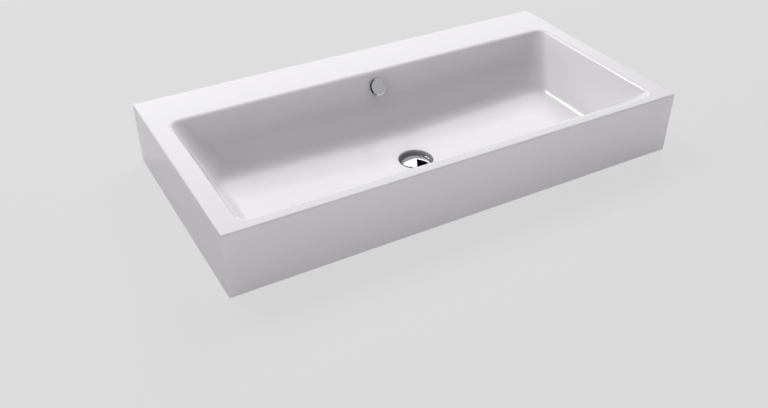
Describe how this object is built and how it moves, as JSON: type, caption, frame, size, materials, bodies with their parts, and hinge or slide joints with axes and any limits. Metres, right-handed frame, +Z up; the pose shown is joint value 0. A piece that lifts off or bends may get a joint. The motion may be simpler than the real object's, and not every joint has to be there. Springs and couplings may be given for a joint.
{
  "type": "countertop washbasin",
  "caption": "Wide enamelled steel countertop washbasin with sloping bowl, rear ledge, round overflow cover and push-open waste with its trap connection.",
  "frame": {"origin": "centre of the basin's rectangular footprint, on the countertop that its foot rests on", "axes": "+X to the right as seen by the user, +Y back to the wall, +Z up; rim at z = 0.120, waste tail below z = 0"},
  "size_m": [0.9, 0.46, 0.21],
  "materials": {
    "enamel": "gloss white vitreous enamel, matt dark ground coat underneath",
    "chrome": "polished chrome plating",
    "brass": "turned, bare",
    "steel": "stainless, satin",
    "rubber": "matt black",
    "damping_sheet": "matt, heavy sound-damping sheet",
    "white_plastic": "moulded acetal, satin",
    "grey_plastic": "moulded polypropylene, satin"
  },
  "bodies": {
    "basin": {"basin_shell": "enamel", "damping_pad_left": "damping_sheet", "damping_pad_right": "damping_sheet", "waste_flange": "chrome", "flange_seal": "rubber", "cartridge_spring": "steel", "cartridge_body": "white_plastic", "cartridge_cover": "grey_plastic", "underside_seal": "rubber", "overflow_collar": "white_plastic", "collar_seal": "rubber", "slip_washer": "grey_plastic", "backnut": "brass", "overflow_cap": "chrome", "overflow_rosette": "chrome", "overflow_screw": "steel", "overflow_gasket": "rubber", "overflow_elbow": "white_plastic", "overflow_hose": "grey_plastic", "upper_hose_clip": "steel", "lower_hose_clip": "steel", "clip_screws": "steel"},
    "cap": {"waste_cap": "chrome", "cap_seal": "rubber", "cap_stud": "brass", "cartridge_plunger": "white_plastic"},
    "rotor": {"cartridge_rotor": "grey_plastic"}
  },
  "joints": [
    {"name": "cap_lift", "type": "slide", "parent": "basin", "child": "cap", "axis": [0, 0, 1], "range_m": [0, 0.007], "deforming": ["cartridge_spring"]},
    {"name": "rotor_turn", "type": "hinge", "parent": "cap", "child": "rotor", "pos_m": [0, -0.038, -0.0265], "axis": [0, 0, 1], "range_deg": [0, 45]}
  ],
  "couplings": [
    {"joint": "rotor_turn", "follows": "cap_lift", "rad_per_m": 112.19}
  ]
}
